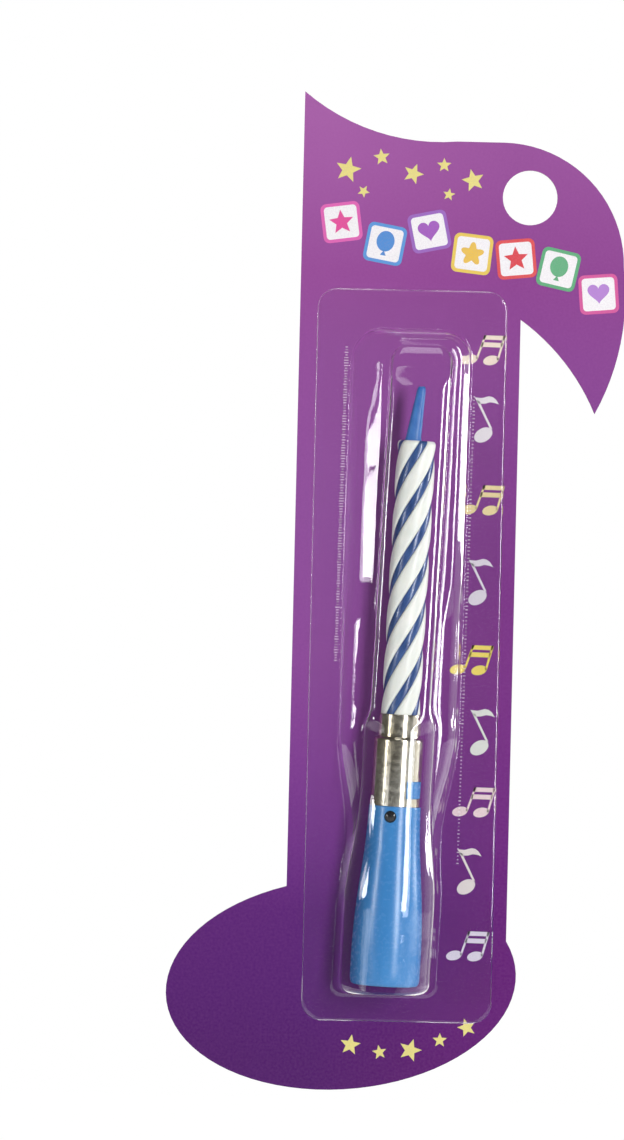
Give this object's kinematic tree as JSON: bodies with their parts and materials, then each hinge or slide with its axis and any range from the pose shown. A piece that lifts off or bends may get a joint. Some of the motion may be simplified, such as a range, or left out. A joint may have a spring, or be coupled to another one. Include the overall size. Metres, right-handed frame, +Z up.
{
  "type": "musical birthday candle",
  "caption": "Striped twisted wax candle in a stepped metal ferrule on a flared plastic base that plays a tune, under a clear blister on a note-shaped hanging card.",
  "frame": {"origin": "centre of the hang hole on the front face of the card", "axes": "+Z up along the card, +Y out of the back of the card, front towards -Y, +X to the right seen from the front"},
  "size_m": [0.0664, 0.0119, 0.1496],
  "materials": {
    "card_print": "printed and varnished",
    "clear_sheet": "clear thermoformed",
    "white_wax": "satin wax",
    "navy_wax": "satin wax",
    "azure_wax": "satin wax",
    "cotton": "braided",
    "plated_sheet": "bright plated",
    "blue_plastic": "gloss moulded",
    "dark_lens": "gloss",
    "tinned_wire": "tinned",
    "green_board": "solder mask",
    "black_resin": "cast resin",
    "buzzer_brass": "rolled",
    "buzzer_ceramic": "silvered",
    "red_insulation": "extruded",
    "black_insulation": "extruded",
    "cell_steel": "nickel plated"
  },
  "bodies": {
    "card": {"backing_card": "card_print"},
    "blister": {"blister": "clear_sheet"},
    "holder": {"base_housing": "blue_plastic", "base_plug": "blue_plastic", "ferrule": "plated_sheet", "flame_sensor": "dark_lens", "sensor_leads": "tinned_wire", "circuit_board": "green_board", "melody_chip": "black_resin", "drive_transistor": "black_resin", "bias_resistor": "black_resin", "buzzer_disc": "buzzer_brass", "buzzer_ceramic": "buzzer_ceramic", "buzzer_lead_red": "red_insulation", "buzzer_lead_black": "black_insulation", "negative_spring": "tinned_wire", "cell_lower": "cell_steel", "cell_upper": "cell_steel", "positive_contact": "cell_steel"},
    "candle": {"candle_body": "white_wax", "candle_stripes": "navy_wax", "wick": "cotton", "wick_coating": "azure_wax"}
  },
  "joints": [
    {"name": "blister_lift", "type": "slide", "parent": "card", "child": "blister", "axis": [0, -1, 0], "range_m": [0, 0.06]},
    {"name": "candle_out", "type": "slide", "parent": "card", "child": "holder", "axis": [0, -1, 0], "range_m": [0, 0.03]},
    {"name": "candle_pull", "type": "slide", "parent": "holder", "child": "candle", "axis": [0.0366, 0, 0.9993], "range_m": [0, 0.0045]}
  ],
  "couplings": [
    {"joint": "candle_out", "follows": "blister_lift", "ratio": 0.5}
  ]
}
